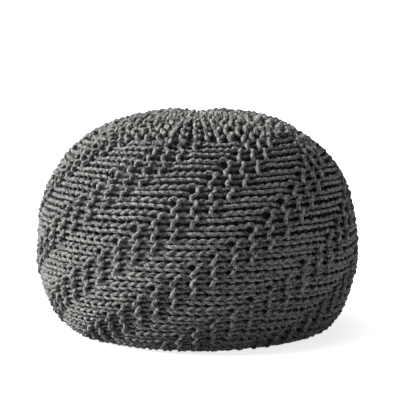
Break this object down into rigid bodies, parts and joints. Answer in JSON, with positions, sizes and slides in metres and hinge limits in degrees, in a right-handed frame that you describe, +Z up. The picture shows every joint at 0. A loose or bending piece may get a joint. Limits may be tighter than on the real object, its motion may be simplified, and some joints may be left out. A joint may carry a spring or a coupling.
{
  "type": "knitted pouf",
  "caption": "Round floor pouf: a tightly filled, hand-knitted yarn cover with a flat foot, a full belly and a crown gathered into a sunken eye.",
  "frame": {"origin": "centre of the flat foot, on the floor", "axes": "+Z up; -Y is the side that faces the camera; +X to the right seen from the front"},
  "size_m": [0.5031, 0.5049, 0.3454],
  "materials": {
    "cotton_yarn": "matt charcoal grey twisted cotton yarn, chunky hand knit",
    "inner_bag_cloth": "plain woven near-black cotton, seen only through the gaps between the stitches"
  },
  "bodies": {
    "root": {"filled_knit_cover": "cotton_yarn"}
  },
  "joints": []
}
